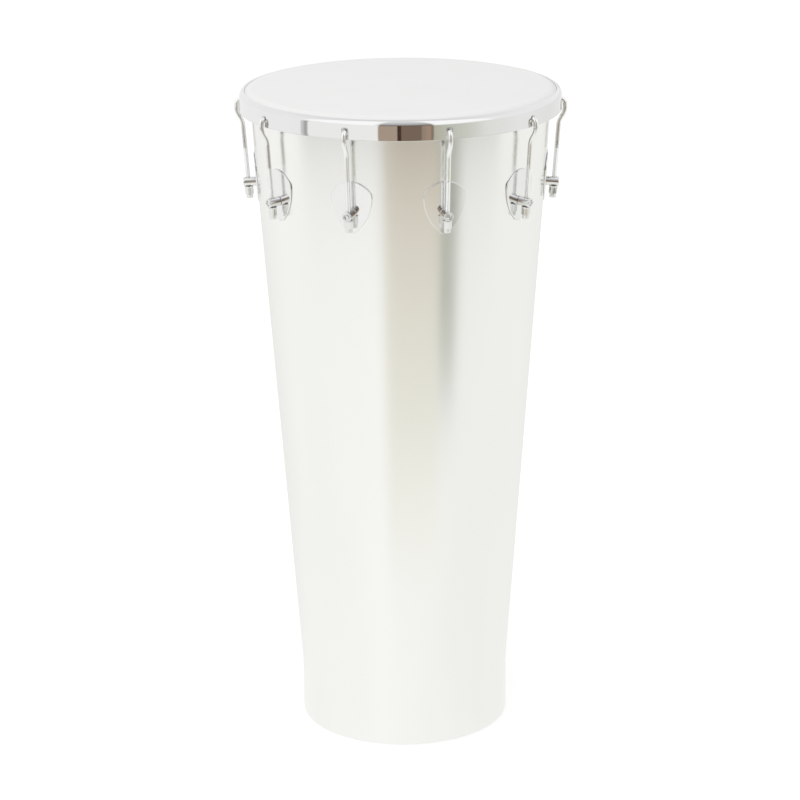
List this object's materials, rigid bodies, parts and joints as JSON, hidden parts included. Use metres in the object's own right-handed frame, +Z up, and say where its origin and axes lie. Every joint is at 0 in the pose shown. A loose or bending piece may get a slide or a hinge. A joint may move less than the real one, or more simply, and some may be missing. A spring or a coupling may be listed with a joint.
{
  "type": "timbal drum",
  "caption": "Tall tapered metal hand drum, open at the foot, with a flat plastic head held by a rod-tuned counterhoop.",
  "frame": {"origin": "middle of the foot, on the floor that the drum stands on", "axes": "+Z up along the drum's axis, front towards -Y"},
  "size_m": [0.3882, 0.377, 0.78],
  "materials": {
    "polished_aluminium": "polished",
    "plain_aluminium": "satin",
    "head_film": "milky, satin",
    "hoop_chrome": "bright",
    "rod_chrome": "bright",
    "lug_chrome": "bright",
    "plate_chrome": "bright, lightly pressed",
    "zinc_steel": "zinc plated"
  },
  "bodies": {
    "root": {"shell": "polished_aluminium", "drumhead": "head_film", "lug_post_01": "lug_chrome", "lug_post_02": "lug_chrome", "lug_post_03": "lug_chrome", "lug_post_04": "lug_chrome", "lug_post_05": "lug_chrome", "lug_post_06": "lug_chrome", "lug_post_07": "lug_chrome", "lug_post_08": "lug_chrome", "lug_post_09": "lug_chrome", "lug_post_10": "lug_chrome", "lug_plate_01": "plate_chrome", "lug_plate_02": "plate_chrome", "lug_plate_03": "plate_chrome", "lug_plate_04": "plate_chrome", "lug_plate_05": "plate_chrome", "lug_plate_06": "plate_chrome", "lug_plate_07": "plate_chrome", "lug_plate_08": "plate_chrome", "lug_plate_09": "plate_chrome", "lug_plate_10": "plate_chrome", "lug_lock_nut_01": "zinc_steel", "lug_lock_nut_02": "zinc_steel", "lug_lock_nut_03": "zinc_steel", "lug_lock_nut_04": "zinc_steel", "lug_lock_nut_05": "zinc_steel", "lug_lock_nut_06": "zinc_steel", "lug_lock_nut_07": "zinc_steel", "lug_lock_nut_08": "zinc_steel", "lug_lock_nut_09": "zinc_steel", "lug_lock_nut_10": "zinc_steel"},
    "hoop": {"counterhoop": "hoop_chrome", "flesh_hoop": "plain_aluminium", "tension_rod_01": "rod_chrome", "tension_rod_02": "rod_chrome", "tension_rod_03": "rod_chrome", "tension_rod_04": "rod_chrome", "tension_rod_05": "rod_chrome", "tension_rod_06": "rod_chrome", "tension_rod_07": "rod_chrome", "tension_rod_08": "rod_chrome", "tension_rod_09": "rod_chrome", "tension_rod_10": "rod_chrome"},
    "nut_01": {"tuning_nut_01": "lug_chrome"},
    "nut_02": {"tuning_nut_02": "lug_chrome"},
    "nut_03": {"tuning_nut_03": "lug_chrome"},
    "nut_04": {"tuning_nut_04": "lug_chrome"},
    "nut_05": {"tuning_nut_05": "lug_chrome"},
    "nut_06": {"tuning_nut_06": "lug_chrome"},
    "nut_07": {"tuning_nut_07": "lug_chrome"},
    "nut_08": {"tuning_nut_08": "lug_chrome"},
    "nut_09": {"tuning_nut_09": "lug_chrome"},
    "nut_10": {"tuning_nut_10": "lug_chrome"}
  },
  "joints": [
    {"name": "hoop_travel", "type": "slide", "parent": "root", "child": "hoop", "axis": [0, 0, 1], "range_m": [-0.0015, 0.0015]},
    {"name": "nut_turn_01", "type": "hinge", "parent": "root", "child": "nut_01", "pos_m": [0.05517, -0.16979, 0.65474], "axis": [0.0223, -0.0685, 0.9974], "range_deg": [-545, 545]},
    {"name": "nut_turn_02", "type": "hinge", "parent": "root", "child": "nut_02", "pos_m": [0.14444, -0.10494, 0.65474], "axis": [0.0583, -0.0423, 0.9974], "range_deg": [-545, 545]},
    {"name": "nut_turn_03", "type": "hinge", "parent": "root", "child": "nut_03", "pos_m": [0.17853, 0, 0.65474], "axis": [0.072, 0, 0.9974], "range_deg": [-545, 545]},
    {"name": "nut_turn_04", "type": "hinge", "parent": "root", "child": "nut_04", "pos_m": [0.14444, 0.10494, 0.65474], "axis": [0.0583, 0.0423, 0.9974], "range_deg": [-545, 545]},
    {"name": "nut_turn_05", "type": "hinge", "parent": "root", "child": "nut_05", "pos_m": [0.05517, 0.16979, 0.65474], "axis": [0.0223, 0.0685, 0.9974], "range_deg": [-545, 545]},
    {"name": "nut_turn_06", "type": "hinge", "parent": "root", "child": "nut_06", "pos_m": [-0.05517, 0.16979, 0.65474], "axis": [-0.0223, 0.0685, 0.9974], "range_deg": [-545, 545]},
    {"name": "nut_turn_07", "type": "hinge", "parent": "root", "child": "nut_07", "pos_m": [-0.14444, 0.10494, 0.65474], "axis": [-0.0583, 0.0423, 0.9974], "range_deg": [-545, 545]},
    {"name": "nut_turn_08", "type": "hinge", "parent": "root", "child": "nut_08", "pos_m": [-0.17853, 0, 0.65474], "axis": [-0.072, 0, 0.9974], "range_deg": [-545, 545]},
    {"name": "nut_turn_09", "type": "hinge", "parent": "root", "child": "nut_09", "pos_m": [-0.14444, -0.10494, 0.65474], "axis": [-0.0583, -0.0423, 0.9974], "range_deg": [-545, 545]},
    {"name": "nut_turn_10", "type": "hinge", "parent": "root", "child": "nut_10", "pos_m": [-0.05517, -0.16979, 0.65474], "axis": [-0.0223, -0.0685, 0.9974], "range_deg": [-545, 545]}
  ],
  "couplings": [
    {"joint": "nut_turn_01", "follows": "hoop_travel", "rad_per_m": -6283.2},
    {"joint": "nut_turn_02", "follows": "hoop_travel", "rad_per_m": -6283.2},
    {"joint": "nut_turn_03", "follows": "hoop_travel", "rad_per_m": -6283.2},
    {"joint": "nut_turn_04", "follows": "hoop_travel", "rad_per_m": -6283.2},
    {"joint": "nut_turn_05", "follows": "hoop_travel", "rad_per_m": -6283.2},
    {"joint": "nut_turn_06", "follows": "hoop_travel", "rad_per_m": -6283.2},
    {"joint": "nut_turn_07", "follows": "hoop_travel", "rad_per_m": -6283.2},
    {"joint": "nut_turn_08", "follows": "hoop_travel", "rad_per_m": -6283.2},
    {"joint": "nut_turn_09", "follows": "hoop_travel", "rad_per_m": -6283.2},
    {"joint": "nut_turn_10", "follows": "hoop_travel", "rad_per_m": -6283.2}
  ]
}
